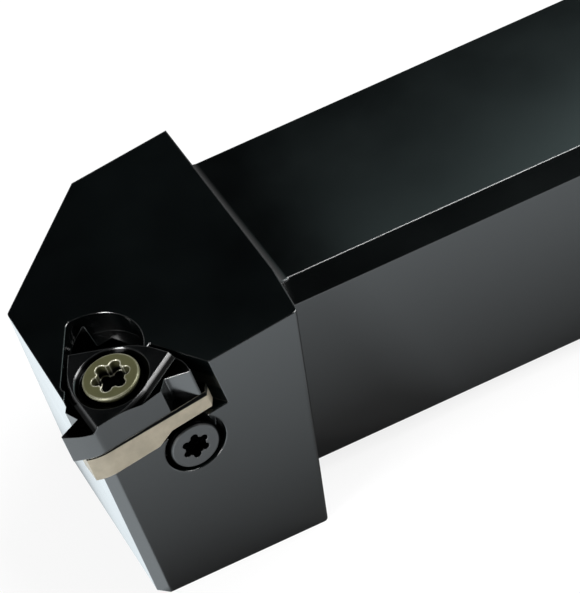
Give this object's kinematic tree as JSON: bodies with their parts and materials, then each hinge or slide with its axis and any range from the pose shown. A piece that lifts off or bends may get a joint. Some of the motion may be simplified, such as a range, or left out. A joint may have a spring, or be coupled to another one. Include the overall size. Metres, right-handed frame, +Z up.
{
  "type": "turning tool holder",
  "caption": "External thread-turning holder: square shank and offset head, with an indexable insert clamped on a shim in a tilted pocket.",
  "frame": {"origin": "on the shank's bottom face, midway across the shank, under the near top corner of the head's shoulder", "axes": "+X along the shank towards the cutting tip, +Y across the shank towards the cutting side, +Z up from the bottom face to the top face"},
  "size_m": [0.15, 0.0321, 0.0291],
  "materials": {
    "body_steel": "black oxide over fine-ground hardened steel, satin",
    "insert_carbide": "dark thin-film coating over sintered carbide, semi-gloss",
    "shim_carbide": "bare sintered carbide with a straw tint, matte",
    "insert_screw_steel": "olive phosphate over hardened steel, semi-gloss",
    "shim_screw_steel": "black oxide over hardened steel, satin"
  },
  "bodies": {
    "root": {"holder_body": "body_steel", "threading_insert": "insert_carbide", "shim": "shim_carbide", "insert_screw": "insert_screw_steel", "shim_screw": "shim_screw_steel"}
  },
  "joints": []
}
